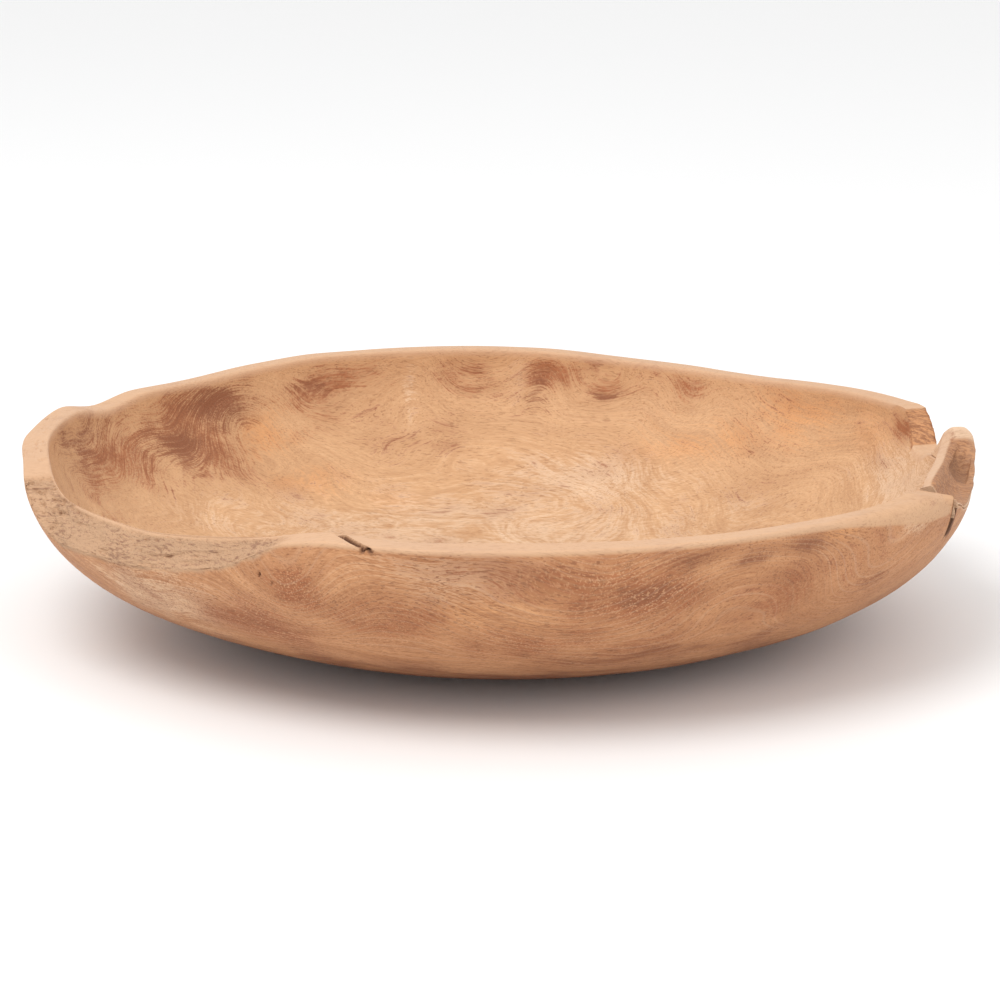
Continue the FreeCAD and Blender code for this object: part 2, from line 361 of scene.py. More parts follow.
def body_grid(angle):
    """Rows of points from the foot up the outside, over the rim and down to the floor.
    Also gives, for each row, how far it is past the rim's outer edge, in mm across."""
    top_out, top_in = body_top(angle)
    round_out = curve_through(*zip(*ROUND_OUT))(angle)
    round_in = curve_through(*zip(*ROUND_IN))(angle)
    rows = []
    for share in FLAT_SHARES:
        rows.append(place(angle, ellipse(angle, FOOT_HALF_LENGTH, FOOT_HALF_WIDTH) * share, 0.0))
    for s in np.linspace(0, 1, LOW_OUTER_ROWS):
        rows.append(place(angle, outer_radius(angle, LOW_OUTSIDE * s**2), LOW_OUTSIDE * s**2))
    shoulder_out = top_out - round_out
    for s in np.linspace(0, 1, HIGH_OUTER_ROWS)[1:]:
        z = LOW_OUTSIDE + (shoulder_out - LOW_OUTSIDE) * s
        rows.append(place(angle, outer_radius(angle, z), z))
    first_rim = len(rows) - 1
    edge_out = place(angle, outer_radius(angle, top_out), top_out)
    edge_in = place(angle, inner_radius(angle, top_in), top_in)
    rim_out = toward(edge_out, edge_in, round_out)
    rim_in = toward(edge_in, edge_out, round_in)
    rows += corner_rows(rows[-1], edge_out, rim_out, CORNER_ROWS)
    for s in np.linspace(0, 1, RIM_ROWS):
        rows.append(rim_out + (rim_in - rim_out) * s)
    shoulder_in = top_in - round_in
    below = place(angle, inner_radius(angle, shoulder_in), shoulder_in)
    rows += corner_rows(rim_in, edge_in, below, CORNER_ROWS)
    last_rim = len(rows)
    for s in np.linspace(0, 1, HIGH_INNER_ROWS):
        z = shoulder_in + (LOW_INSIDE - shoulder_in) * s
        rows.append(place(angle, inner_radius(angle, z), z))
    for s in np.linspace(1, 0, LOW_INNER_ROWS)[1:]:
        z = FLOOR_THICKNESS + (LOW_INSIDE - FLOOR_THICKNESS) * s**2
        rows.append(place(angle, inner_radius(angle, z), z))
    for share in FLAT_SHARES[::-1]:
        radius = ellipse(angle, FLOOR_HALF_LENGTH, FLOOR_HALF_WIDTH) * share
        rows.append(place(angle, radius, FLOOR_THICKNESS))
    grid = np.array(rows)
    steps = np.linalg.norm(np.diff(grid, axis=0), axis=-1)
    across = np.concatenate([np.zeros((1, len(angle))), np.cumsum(steps, axis=0)])
    width = across[last_rim] - across[first_rim]
    across = across - across[first_rim]
    return grid, across, width


def rough_face(along, across, width, angle, points):
    """Depth of the weathered fibres, ledges and pits on the natural front left face and
    of the crumbled knob beside it, and how rough each point is, from 0 to 1."""
    ragged = layers(points, 16, 3) * 2.0
    inside_face = smooth(-3.0, 0.6, across + ragged) * (1 - smooth(width - 5.0, width - 2.6, across))
    face = between(*ROUGH_FACE, 4.5, angle) * inside_face
    flat = np.stack([along, across, 0 * along], -1)
    wander = layers(flat / (30, 9, 1), 1, 5) * 2.0
    fibre_place = np.stack([along / 17, (across + wander) / 2.0, 0 * along], -1)
    fibres = layers(fibre_place, 1, 9, 3)
    lumps = layers(points, 24, 13, 2)
    ledge_place = (across + 3.0 * noise(flat / (34, 16, 1), 1, 17)) / 5.2
    ledges = ledge_place - np.floor(ledge_place)
    ledges = np.where(ledges < 0.82, ledges / 0.82, (1 - ledges) / 0.18)
    ledge_here = smooth(-0.15, 0.35, noise(flat / (42, 12, 1), 1, 21))
    pit_field = noise(flat / (5.0, 1.9, 1), 1, 25) + 0.35 * noise(flat / (2.6, 1.2, 1), 1, 27)
    pits = smooth(0.32, 0.72, pit_field)
    pit_here = smooth(-0.1, 0.4, layers(flat / (22, 7, 1), 1, 29, 2))
    depth = 0.6 + 0.34 * fibres + 0.9 * lumps + 0.9 * ledges * ledge_here
    depth = depth + 0.9 * pits * (0.1 + pit_here)
    knob = between(*KNOB, 2.0, angle) * smooth(-1.0, 1.0, across)
    knob = knob * (1 - smooth(width - 3.5, width - 1.5, across))
    large_cells = smooth(0.05, 0.45, noise(points, 3.4, 33))
    knob_cells = large_cells + 0.5 * smooth(0.1, 0.5, noise(points, 1.9, 35))
    return np.maximum(face * depth, knob * (0.5 + 1.6 * knob_cells)), np.maximum(face, knob)


def end_pits(along, across, width, angle):
    """Small pits on the flat top of the left end, where weathered end grain shows."""
    flat = np.stack([along, across, 0 * along], -1)
    top = between(*END_TOP, 5, angle) * smooth(0.5, 2.5, across)
    top = top * (1 - smooth(width - 4, width - 2, across))
    clusters = smooth(-0.1, 0.45, noise(flat, 13, 41))
    pits = smooth(0.18, 0.6, noise(flat / (1.5, 0.85, 1), 2.2, 43))
    return top * clusters * pits * 0.9


def shake(across, width, angle, radius_mm):
    """Depth of the V-shaped drying shake that crosses the front rim at a slant."""
    share = np.clip(across / width, -0.2, 1.2)
    middle = SHAKE_OUTSIDE + (SHAKE_INSIDE - SHAKE_OUTSIDE) * share
    off = np.radians(angle - middle) * radius_mm
    half = SHAKE_WIDTH * (0.35 + 1.2 * between(0.1, 0.62, 0.5, share))
    wander = 0.5 * noise(np.stack([across, off, 0 * off], -1), 4, 51)
    groove = np.clip(1 - np.abs(off + wander) / half, 0, 1)
    reach = smooth(-0.18, 0.02, share) * (1 - smooth(0.93, 1.08, share))
    deeper = 0.45 + 0.55 * between(0.1, 0.6, 0.4, share)
    return SHAKE_DEPTH * np.minimum(groove * 1.6, 1) * reach * deeper


def make_body():
    """The carved body: its rows of points, pushed in and out along their normals."""
    angle = spread_columns(COLUMN_ZONES, COLUMNS)
    grid, across, width = body_grid(angle)
    everywhere = np.broadcast_to(angle, across.shape)
    span = np.broadcast_to(width, across.shape)
    around = np.concatenate([[0], np.cumsum(np.radians(np.diff(angle)) * rim_radius(angle[1:]))])
    along = np.broadcast_to(around, across.shape)
    normal = grid_normals(grid)
    height = grid[..., 2]

    # Slow unevenness from carving by hand, with none at the foot or under the lobe.
    sway = 0.55 * noise(grid, 85, 61) + 0.22 * noise(grid, 34, 63) - 0.65
    still = smooth(0, 14, height)
    seam = between(*LOBE_SEAM, 0.6, everywhere) * smooth(60, 70, height)
    push = sway * still * (1 - seam)

    rough, rough_mask = rough_face(along, across, span, everywhere, grid)
    pitted = end_pits(along, across, span, everywhere)
    slot = shake(across, span, everywhere, rim_radius(everywhere))
    push = push - rough - pitted - slot

    # Painted shade: the colour is darkened in the crack, in the shake and down the borer holes, where
    # shade falls.
    on_outside = across < 0
    in_crack = between(*CRACK, 0.35, everywhere) * smooth(*CRACK_BOTTOM, height)
    in_crack = in_crack * (1 - smooth(span - 1.0, span + 0.5, across))
    crevice_shade = np.maximum(0.9 * in_crack, smooth(0.4, 1.5, slot))
    for hole_angle, hole_height, hole_radius in BORER_HOLES:
        off = np.radians(everywhere - hole_angle) * rim_radius(hole_angle)
        far = np.hypot(off, height - hole_height)
        hole = on_outside * (1 - smooth(0.4 * hole_radius, 1.25 * hole_radius, far))
        push = push - BORER_DEPTH * hole
        crevice_shade = np.maximum(crevice_shade, hole)

    # The back wall's steep broken end, with torn fibres.
    torn = between(*TORN_FACE, 0.25, everywhere) * (across > -2) * (across < span + 2)
    tear = 0.5 * layers(grid, 7, 71) + 0.45 * noise(grid / (1, 1, 0.3), 2.4, 73)
    push = push - torn * (0.35 + tear) * 0.9
    torn = np.maximum(torn, smooth(0.2, 1.2, slot))

    grid = grid + normal * push[..., None]
    grid[..., 2] = np.maximum(grid[..., 2], 0.0)  # nothing below the foot

    middle = [1] * (len(grid) - len(OUTER_STEPS) - len(INNER_STEPS))
    steps = OUTER_STEPS + middle + INNER_STEPS
    rings = [row[::step] for row, step in zip(grid, steps)]
    piece = ring_mesh("bowl_body_carved", rings)
    rim_top = smooth(-1.0, 0.5, across) * (1 - smooth(span - 0.5, span + 1.5, across))
    nose = between(*NOSE, 10, everywhere)
    values = {
        "rough": np.clip(rough_mask + 0.25 * torn, 0, 1),
        "torn": torn,
        # painted shade in the crack, the shake and the borer holes
        "crevice_shade": crevice_shade,
        "outside": 1 - smooth(-1.5, 0.5, across),
        "rim": rim_top * (1 - rough_mask) * (1 - torn) * (1 - 0.4 * nose),
    }
    for name, field in values.items():
        kept = [row[::step] for row, step in zip(field, steps)]
        add_value(piece, name, np.concatenate(kept + [[kept[0].mean(), kept[-1].mean()]]))
    paint_tones(piece, values["outside"], steps, rings)
    shade(piece)
    return piece


def add_value(piece, name, values):
    """A smooth number on each vertex, which materials read by its name."""
    attribute = piece.data.attributes.new(name, "FLOAT", "POINT")
    attribute.data.foreach_set("value", np.asarray(values, np.float32))


# Where the wood's colour drifts, as (tone, side, centre, half sizes along X, Y and Z,
# strength), with the lengths in millimetres. The last entry is painted shade, which darkens
# the outside more and more towards the foot.
DARK, RED, ORANGE, PALE = range(4)
INSIDE, OUTSIDE = range(2)
TONES = (
    (DARK, INSIDE, (-164, 146, 77), (24, 28, 16), 0.88),
    (DARK, INSIDE, (-186, 118, 64), (18, 26, 16), 0.75),
    (RED, INSIDE, (-180, 128, 70), (36, 42, 24), 0.8),
    (DARK, INSIDE, (-228, 44, 86), (20, 50, 13), 0.6),
    (RED, INSIDE, (-215, 64, 72), (30, 62, 24), 0.62),
    (RED, INSIDE, (-206, 86, 58), (26, 40, 16), 0.5),
    (ORANGE, INSIDE, (-140, 152, 66), (18, 16, 22), 0.85),
    (ORANGE, INSIDE, (-112, 132, 38), (34, 20, 9), 0.6),
    (ORANGE, INSIDE, (-66, 130, 28), (36, 12, 8), 0.6),
    (RED, INSIDE, (-92, 191, 86), (26, 12, 9), 0.6),
    (RED, INSIDE, (-118, 176, 74), (24, 14, 14), 0.45),
    (DARK, INSIDE, (-112, 180, 80), (22, 12, 4), 0.35),
    (PALE, INSIDE, (-56, 199, 76), (4, 14, 16), 0.7),
    (RED, INSIDE, (-24, 204, 82), (16, 10, 12), 0.35),
    (DARK, INSIDE, (20, 204, 77), (7, 10, 10), 0.6),
    (RED, INSIDE, (26, 204, 84), (18, 10, 11), 0.8),
    (PALE, INSIDE, (8, 205, 84), (6, 10, 12), 0.5),
    (RED, INSIDE, (62, 196, 79), (17, 10, 7), 0.75),
    (DARK, INSIDE, (62, 196, 76), (11, 9, 2.6), 0.9),
    (RED, INSIDE, (110, 181, 82), (13, 10, 10), 0.75),
    (PALE, INSIDE, (111, 180, 80), (3, 9, 12), 0.6),
    (ORANGE, INSIDE, (170, 136, 76), (32, 36, 16), 0.7),
    (ORANGE, INSIDE, (112, 158, 55), (48, 22, 15), 0.65),
    (ORANGE, INSIDE, (205, 88, 78), (26, 34, 16), 0.55),
    (RED, INSIDE, (216, 70, 84), (6, 12, 8), 0.8),
    (PALE, INSIDE, (45, 150, 36), (56, 36, 13), 0.8),
    (PALE, INSIDE, (212, 20, 66), (30, 60, 26), 0.9),
    (PALE, INSIDE, (128, 96, 32), (36, 24, 8), 0.4),
    (PALE, INSIDE, (-20, 70, 20), (130, 90, 16), 0.8),
    (PALE, INSIDE, (60, -60, 22), (140, 90, 20), 0.7),
    (PALE, INSIDE, (-150, 70, 36), (38, 40, 12), 0.45),
    (PALE, OUTSIDE, (-168, -142, 52), (52, 40, 24), 0.7),
    (RED, OUTSIDE, (-102, -198, 74), (19, 16, 13), 0.95),
    (RED, OUTSIDE, (-118, -170, 46), (34, 28, 20), 0.7),
    (RED, OUTSIDE, (-62, -203, 58), (38, 22, 14), 0.6),
    (PALE, OUTSIDE, (-20, -221, 86), (46, 16, 14), 0.4),
    (ORANGE, OUTSIDE, (-12, -210, 66), (50, 24, 14), 0.5),
    (RED, OUTSIDE, (44, -216, 83), (48, 18, 11), 0.7),
    (DARK, OUTSIDE, (30, -219, 88), (16, 14, 4), 0.4),
    (DARK, OUTSIDE, (63, -211, 75), (16, 14, 6), 0.6),
    (RED, OUTSIDE, (66, -209, 70), (38, 18, 14), 0.85),
    (DARK, OUTSIDE, (84, -206, 92), (16, 14, 6), 0.5),
    (RED, OUTSIDE, (20, -200, 48), (60, 24, 11), 0.65),
    (DARK, OUTSIDE, (77, -180, 38), (20, 22, 4.5), 0.6),
    (DARK, OUTSIDE, (114, -195, 89), (15, 12, 4.5), 0.85),
    (DARK, OUTSIDE, (144, -177, 87), (19, 16, 6), 0.7),
    (RED, OUTSIDE, (132, -174, 62), (34, 28, 14), 0.55),
    (ORANGE, OUTSIDE, (160, -166, 94), (14, 14, 4), 0.7),
    (PALE, OUTSIDE, (206, -126, 92), (24, 26, 7), 0.75),
    (DARK, OUTSIDE, (178, -143, 60), (22, 24, 11), 0.5),
    (RED, OUTSIDE, (168, -150, 70), (50, 34, 22), 0.38),
    # Painted shade: the outside darkened towards the foot, where shade falls.
    (DARK, OUTSIDE, (0, 0, -3), (400, 400, 27), 1.2),
)


def paint_tones(piece, outside, steps, rings):
    """Four tones on each vertex, as a colour that the wood's material reads."""
    side = np.concatenate([row[::step] for row, step in zip(outside, steps)] + [[1.0, 0.0]])
    points = np.concatenate(rings + [[rings[0].mean(0), rings[-1].mean(0)]])
    wander = np.stack([layers(points, 26, seed) for seed in (101, 105, 109)], -1)
    amounts = np.zeros((len(points), 4))
    for tone, wanted, centre, size, strength in TONES:
        reach = (points + 5 * wander - np.array(centre)) / np.array(size)
        fall = np.exp(-0.8 * (reach**2).sum(-1))
        here = side if wanted == OUTSIDE else 1 - side
        amounts[:, tone] = np.maximum(amounts[:, tone], strength * fall * here)
    attribute = piece.data.attributes.new("tones", "FLOAT_COLOR", "POINT")
    attribute.data.foreach_set("color", amounts.astype(np.float32).ravel())


# ---- the root lobe ------------------------------------------------------------------
# Cross-sections of the lobe from its front end at the crack to its rounded back end.
# Each is (angle, crest inside, ridge, hollow, lip), all but the angle as (radius, height).
# Where there is no hollow, its point and the lip round the top over instead.
LOBE_SECTIONS = (
    (337.05, (226.0, 93.5), (232.6, 95.8), (237.0, 89.0), (242.6, 87.2)),
    (339.5, (224.5, 94.6), (231.8, 97.0), (236.8, 86.4), (245.0, 82.6)),
    (343.5, (224.0, 95.0), (231.4, 97.4), (237.0, 84.4), (247.0, 82.0)),
    (348.0, (224.5, 95.2), (231.8, 97.2), (238.2, 84.8), (248.2, 84.6)),
    (352.0, (225.5, 95.4), (232.8, 97.0), (239.0, 85.6), (248.8, 88.0)),
    (355.0, (227.0, 95.8), (234.4, 98.0), (241.6, 91.0), (249.0, 91.6)),
    (358.0, (228.8, 96.4), (236.4, 99.6), (245.4, 99.8), (249.6, 97.2)),
    (362.0, (232.4, 96.4), (239.0, 100.2), (246.6, 100.4), (249.6, 98.4)),
    (368.0, (237.0, 95.0), (241.0, 99.6), (246.4, 99.8), (249.4, 97.6)),
)
SEAT_INSIDE = ((337, 90), (341.5, 88), (350, 86), (360, 84), (368, 81))
SEAT_OUTSIDE = ((337, 87), (341.5, 80), (350, 76), (360, 76), (368, 78))
SEAT_GAP = 0.15  # between the lobe and the body under it
# How far the seat's outer and inner edges and the lip lie inside the wall's own surfaces.
OUTER_INSET = 0.15
INNER_INSET = 0.1
LIP_INSET = 0.3
THUMB_FROM = 362.6  # where the back end starts to round over
THUMB_TO = 367.9
LOBE_RINGS = 170
LOBE_POINTS = 96
LOBE_ROUNDNESS = (0.3, 0.3, 0.42, 0.3, 0.08, 0.05)  # of each corner, as a share of its sides

# Where things are on the lobe, as angles along it and as shares of the way round its
# section, which starts at the crest's inner side and goes over the top to the outside.
HOLLOW_ALONG, HOLLOW_ROUND = (338.2, 357.0), (0.2, 0.6)
POCKET_ALONG, POCKET_ROUND = (350, 354), (0.29, 0.4)
HOLE_ALONG, CREST_ROUND = (337.9, 341.2), (0.985, 1.06)
SEAT_ROUND = (0.68, 0.97)
RIDGE_ROUND = (0.2, 0.36)
BACK_ROUND = (0.0, 0.16)


def lobe_section_rows(angle):
    """The corner points of the lobe's section at each angle, in order round it."""
    stations = [s[0] for s in LOBE_SECTIONS]
    corners = []
    for k in range(1, 5):
        radius = curve_through(stations, [s[k][0] for s in LOBE_SECTIONS])(angle)
        height = curve_through(stations, [s[k][1] for s in LOBE_SECTIONS])(angle)
        corners.append([radius, height])
    seat_in = curve_through(*zip(*SEAT_INSIDE))(angle) + SEAT_GAP
    seat_out = curve_through(*zip(*SEAT_OUTSIDE))(angle) + SEAT_GAP
    bottom_out = [outer_radius(angle, seat_out) - OUTER_INSET, seat_out]
    bottom_in = [inner_radius(angle, seat_in) + INNER_INSET, seat_in]
    lip = corners[3]
    lip[0] = np.minimum(lip[0], outer_radius(angle, lip[1]) - LIP_INSET)
    return corners + [bottom_out, bottom_in]


def rounded_loop(corners, roundness, count):
    """count points round a closed outline whose corners are rounded by a share of its sides."""
    points = []
    total = len(corners)
    per_corner = count // total
    for k in range(total):
        before, corner, after = corners[k - 1], corners[k], corners[(k + 1) % total]
        start = corner + (before - corner) * roundness[k]
        end = corner + (after - corner) * roundness[k]
        curved = per_corner // 2
        for t in np.linspace(0, 1, curved, endpoint=False):
            points.append((1 - t) ** 2 * start + 2 * t * (1 - t) * corner + t**2 * end)
        following = corners[(k + 1) % total]
        next_start = following + (corner - following) * roundness[(k + 1) % total]
        for t in np.linspace(0, 1, per_corner - curved, endpoint=False):
            points.append(end + (next_start - end) * t)
    return points


def make_lobe():
    """The separate lobe of root wood, laid on its seat with its back end rounded over."""
    angle = np.linspace(LOBE_SECTIONS[0][0], THUMB_TO, LOBE_RINGS)
    corners = lobe_section_rows(angle)
    turn = np.clip((angle - THUMB_FROM) / (THUMB_TO - THUMB_FROM), 0, 1)
    thumb = np.sqrt(np.clip(1 - turn**2.4, 0, 1))
    thumb = 0.04 + 0.96 * thumb
    seat_out, seat_in = corners[4], corners[5]
    middle = (seat_out[0] + seat_in[0]) / 2
    squeeze = 0.55 + 0.45 * thumb
    shaped = []
    slope = (seat_out[1] - seat_in[1]) / (seat_out[0] - seat_in[0])
    for radius, height in corners:
        seat = seat_in[1] + slope * (radius - seat_in[0])
        shaped.append((middle + (radius - middle) * squeeze, seat + (height - seat) * thumb))
    placed = [place(angle, radius, height) for radius, height in shaped]
    loop = rounded_loop(placed, LOBE_ROUNDNESS, LOBE_POINTS)
    grid = np.swapaxes(np.array(loop), 0, 1)
    normal = grid_normals(grid)

    loop_share = np.arange(LOBE_POINTS)[None, :] / LOBE_POINTS
    everywhere = np.broadcast_to(angle[:, None], grid.shape[:2])
    in_hollow = between(*HOLLOW_ROUND, 0.03, loop_share) * between(*HOLLOW_ALONG, 1.6, everywhere)
    on_seat = between(*SEAT_ROUND, 0.02, loop_share)
    fibres = layers(grid / (1, 9, 1.6), 2.6, 81)
    hollow = in_hollow * (0.2 + 0.35 * fibres + 0.5 * noise(grid, 9, 83))
    push = 0.35 * noise(grid, 22, 85) + 0.12 * noise(grid, 8, 87) - 0.4
    past_start = np.where(loop_share < 0.5, loop_share + 1, loop_share)
    hole = between(*CREST_ROUND, 0.015, past_start) * between(*HOLE_ALONG, 0.7, everywhere)
    pocket = between(*POCKET_ALONG, 2.0, everywhere) * between(*POCKET_ROUND, 0.04, loop_share)
    pocket = in_hollow * pocket
    push = push * (1 - on_seat) - hollow - 2.6 * hole - 1.5 * pocket
    grid = grid + normal * push[..., None]
    piece = ring_mesh("root_lobe_carved", list(grid))
    on_back = between(*BACK_ROUND, 0.05, loop_share)
    near_ridge = between(*RIDGE_ROUND, 0.06, loop_share)
    values = {
        "rough": 0.1 * in_hollow,
        "torn": in_hollow * (0.85 + 0.15 * near_ridge),
        # painted shade in the hole on the crest, over the hollow and in its pocket
        "crevice_shade": np.maximum(0.9 * hole, 0.24 * in_hollow + 0.25 * pocket),
        "rim": on_back * (1 - in_hollow),
    }
    for name, field in values.items():
        field = np.broadcast_to(field, grid.shape[:2])
        add_value(piece, name, np.concatenate([field.ravel(), [0.0, 0.0]]))
    shade(piece, 50)
    return piece


# ---- the splinters in the crack -----------------------------------------------------
# Each is a thin blade that reaches in towards the bowl. Its outer edge runs from the
# crack's front side to the lobe's through (angle, radius, height) points. The half
# thickness, half the depth and the seed of its unevenness follow.
SPLINTERS = {
    "splinter_low": (
        ((335.5, 245.2, 88.4), (335.95, 245.4, 84.4), (336.35, 244.8, 80.4)), 0.8, 5.0, 91
    ),
    "splinter_high": (
        ((335.95, 246.0, 90.2), (336.5, 246.3, 87.4), (337.0, 245.8, 84.2)), 0.7, 4.5, 95
    ),
}
SPLINTER_RINGS = 26
SPLINTER_POINTS = 20


def make_splinter(name, route, half_thick, half_deep, seed):
    share = np.linspace(0, 1, SPLINTER_RINGS)
    stops = np.linspace(0, 1, len(route))
    track = [curve_through(stops, [p[k] for p in route])(share) for k in range(3)]
    spine = place(*track)
    forward = np.gradient(spine, axis=0)
    forward /= np.linalg.norm(forward, axis=1)[:, None]
    a = np.radians(track[0])
    outward = np.stack([np.cos(a), np.sin(a), 0 * a], -1)
    side = np.cross(outward, forward)
    side /= np.linalg.norm(side, axis=1)[:, None]
    taper = 0.35 + 0.65 * np.sin(np.pi * np.clip(share * 0.8 + 0.15, 0, 1))
    rings = []
    for k in range(SPLINTER_RINGS):
        ring = []
        for t in np.linspace(0, 2 * np.pi, SPLINTER_POINTS, endpoint=False):
            blade = half_thick * taper[k] * math.sin(t) * side[k]
            depth = half_deep * (math.cos(t) - 1) * outward[k]
            ring.append(spine[k] + blade + depth)
        rings.append(ring)
    grid = np.array(rings)
    normal = grid_normals(grid)
    grid = grid + normal * (0.22 * layers(grid / (1, 1, 2.2), 2.2, seed))[..., None]
    piece = ring_mesh(name, list(grid))
    add_value(piece, "rough", np.full(len(piece.data.vertices), 0.15))
    shade(piece, 60)
    return piece


# ---- the wood -------------------------------------------------------------------------
# Colours are (red, green, blue) in linear light.
INSIDE_WOOD = (0.588, 0.355, 0.194)
OUTSIDE_WOOD = (0.510, 0.262, 0.130)
SANDED_RIM = (0.590, 0.370, 0.232)
ROUGH_WOOD = (0.520, 0.316, 0.190)
ROUGH_SHADOW = (0.330, 0.180, 0.112)
TORN_WOOD = (0.540, 0.255, 0.112)
TORN_SHADOW = (0.310, 0.132, 0.060)
GRAIN_DARK = (0.780, 0.680, 0.600)
GRAIN_LIGHT = (1.160, 1.190, 1.200)
# Also used for the painted shade towards the foot, through the tones' last entry.
DARK_TONE = (0.235, 0.088, 0.041)
RED_TONE = (0.350, 0.132, 0.056)
ORANGE_TONE = (0.630, 0.325, 0.146)
PALE_TONE = (0.660, 0.462, 0.310)
PORE = (0.235, 0.096, 0.045)
FLECK = (0.600, 0.325, 0.170)
# Painted shade colour for the crack, the shake, the holes and the lobe's hollow.
CREVICE_SHADE = (0.085, 0.030, 0.016)
LOBE_WOOD = (0.560, 0.345, 0.205)
SPLIT_WOOD = (0.520, 0.285, 0.150)

# The growth rings are sheets, tilted a little, that the carving cuts into contour lines.
SHEET_TILT = (0.10, -0.16, 1.0)
RING_SPACING = 3.6  # mm between the pale lines, across the sheets

# Where the sheets bulge round knots and crotches, as (centre, half size, bulge in mm).
KNOTS = (
    ((-150, 150, 76), (20, 30, 26), -30),
    ((-120, 138, 46), (24, 30, 20), -15),
    ((-214, 70, 60), (34, 40, 26), 9),
    ((62, 197, 77), (22, 16, 11), 15),
    ((104, 181, 80), (13, 14, 22), 13),
    ((22, 205, 88), (12, 14, 24), -15),
    ((-20, 205, 86), (15, 20, 26), 13),
    ((-56, 200, 88), (14, 14, 26), -12),
    ((162, 145, 66), (34, 34, 34), 20),
    ((126, 95, 18), (40, 27, 16), 10),
    ((0, 70, 10), (60, 40, 20), -8),
    ((-104, -198, 70), (24, 24, 22), 30),
    ((-60, -205, 60), (30, 24, 16), -10),
    ((104, -190, 72), (36, 30, 24), -24),
    ((176, -146, 52), (32, 32, 26), 24),
    ((30, -214, 70), (40, 24, 14), 8),
    ((-168, -140, 60), (40, 34, 30), 12),
)


class Wood:
    """A material that is being built. Each method adds a node and returns its result."""

    def __init__(self, name):
        self.material = bpy.data.materials.new(name)
        self.material.use_nodes = True
        self.tree = self.material.node_tree
        self.shader = self.tree.nodes["Principled BSDF"]

    def node(self, kind, *values, **settings):
        """A node with its inputs filled in turn by results, numbers or vectors."""
        node = self.tree.nodes.new(kind)
        for name, setting in settings.items():
            setattr(node, name, setting)
        for socket, value in zip([s for s in node.inputs if s.enabled], values):
            if isinstance(value, bpy.types.NodeSocket):
                self.tree.links.new(value, socket)
            else:
                socket.default_value = value
        return node

    def value(self, name):
        return self.node("ShaderNodeAttribute", attribute_name=name).outputs["Fac"]

    def math(self, operation, *values, limit=False):
        return self.node("ShaderNodeMath", *values, operation=operation, use_clamp=limit).outputs[0]

    def vector(self, operation, *values):
        node = self.node("ShaderNodeVectorMath", *values, operation=operation)
        return node.outputs["Value" if operation in ("LENGTH", "DOT_PRODUCT") else "Vector"]

    def total(self, first, *others):
        for other in others:
            first = self.math("ADD", first, other)
        return first

    def noise(self, points, detail=2.0, roughness=0.5, w=None, colour=False):
        """Noise about 0.5 with features one unit of the points across."""
        node = self.tree.nodes.new("ShaderNodeTexNoise")
        node.noise_dimensions = "3D" if w is None else "4D"
        self.tree.links.new(points, node.inputs["Vector"])
        if w is not None:
            self.tree.links.new(w, node.inputs["W"])
        node.inputs["Scale"].default_value = 1.0
        node.inputs["Detail"].default_value = detail
        node.inputs["Roughness"].default_value = roughness
        return node.outputs["Color" if colour else "Fac"]

    def ramp(self, value, low, high, to_low=0.0, to_high=1.0):
        """A value's place between low and high, smoothed, from to_low to to_high."""
        node = self.node(
            "ShaderNodeMapRange", value, low, high, to_low, to_high, interpolation_type="SMOOTHSTEP"
        )
        return node.outputs["Result"]

    def mix(self, share, first, second, blend="MIX"):
        node = self.tree.nodes.new("ShaderNodeMix")
        node.data_type = "RGBA"
        node.blend_type = blend
        for name, value in (("Factor_Float", share), ("A_Color", first), ("B_Color", second)):
            socket = next(s for s in node.inputs if s.identifier == name)
            if isinstance(value, bpy.types.NodeSocket):
                self.tree.links.new(value, socket)
            elif name == "Factor_Float":
                socket.default_value = value
            else:
                socket.default_value = (*value, 1.0)
        return next(s for s in node.outputs if s.identifier == "Result_Color")

    def places(self):
        """Object coordinates in millimetres."""
        coordinates = self.tree.nodes.new("ShaderNodeTexCoord").outputs["Object"]
        return self.vector("MULTIPLY", coordinates, (1 / MM, 1 / MM, 1 / MM))


def ring_field(wood, points):
    """The growth sheet that each point lies on, counted in millimetres."""
    field = wood.vector("DOT_PRODUCT", points, SHEET_TILT)
    for centre, size, bulge in KNOTS:
        away = wood.vector("SUBTRACT", points, centre)
        away = wood.vector("LENGTH", wood.vector("DIVIDE", away, size))
        field = wood.total(field, wood.ramp(away, 0.0, 2.1, bulge, 0.0))
    wide = wood.noise(wood.vector("MULTIPLY", points, (0.009, 0.015, 0.015)), 1.0)
    near = wood.noise(wood.vector("MULTIPLY", points, (0.028, 0.045, 0.045)), 1.0)
    return wood.total(field, wood.math("MULTIPLY", wide, 42.0), wood.math("MULTIPLY", near, 5.0))


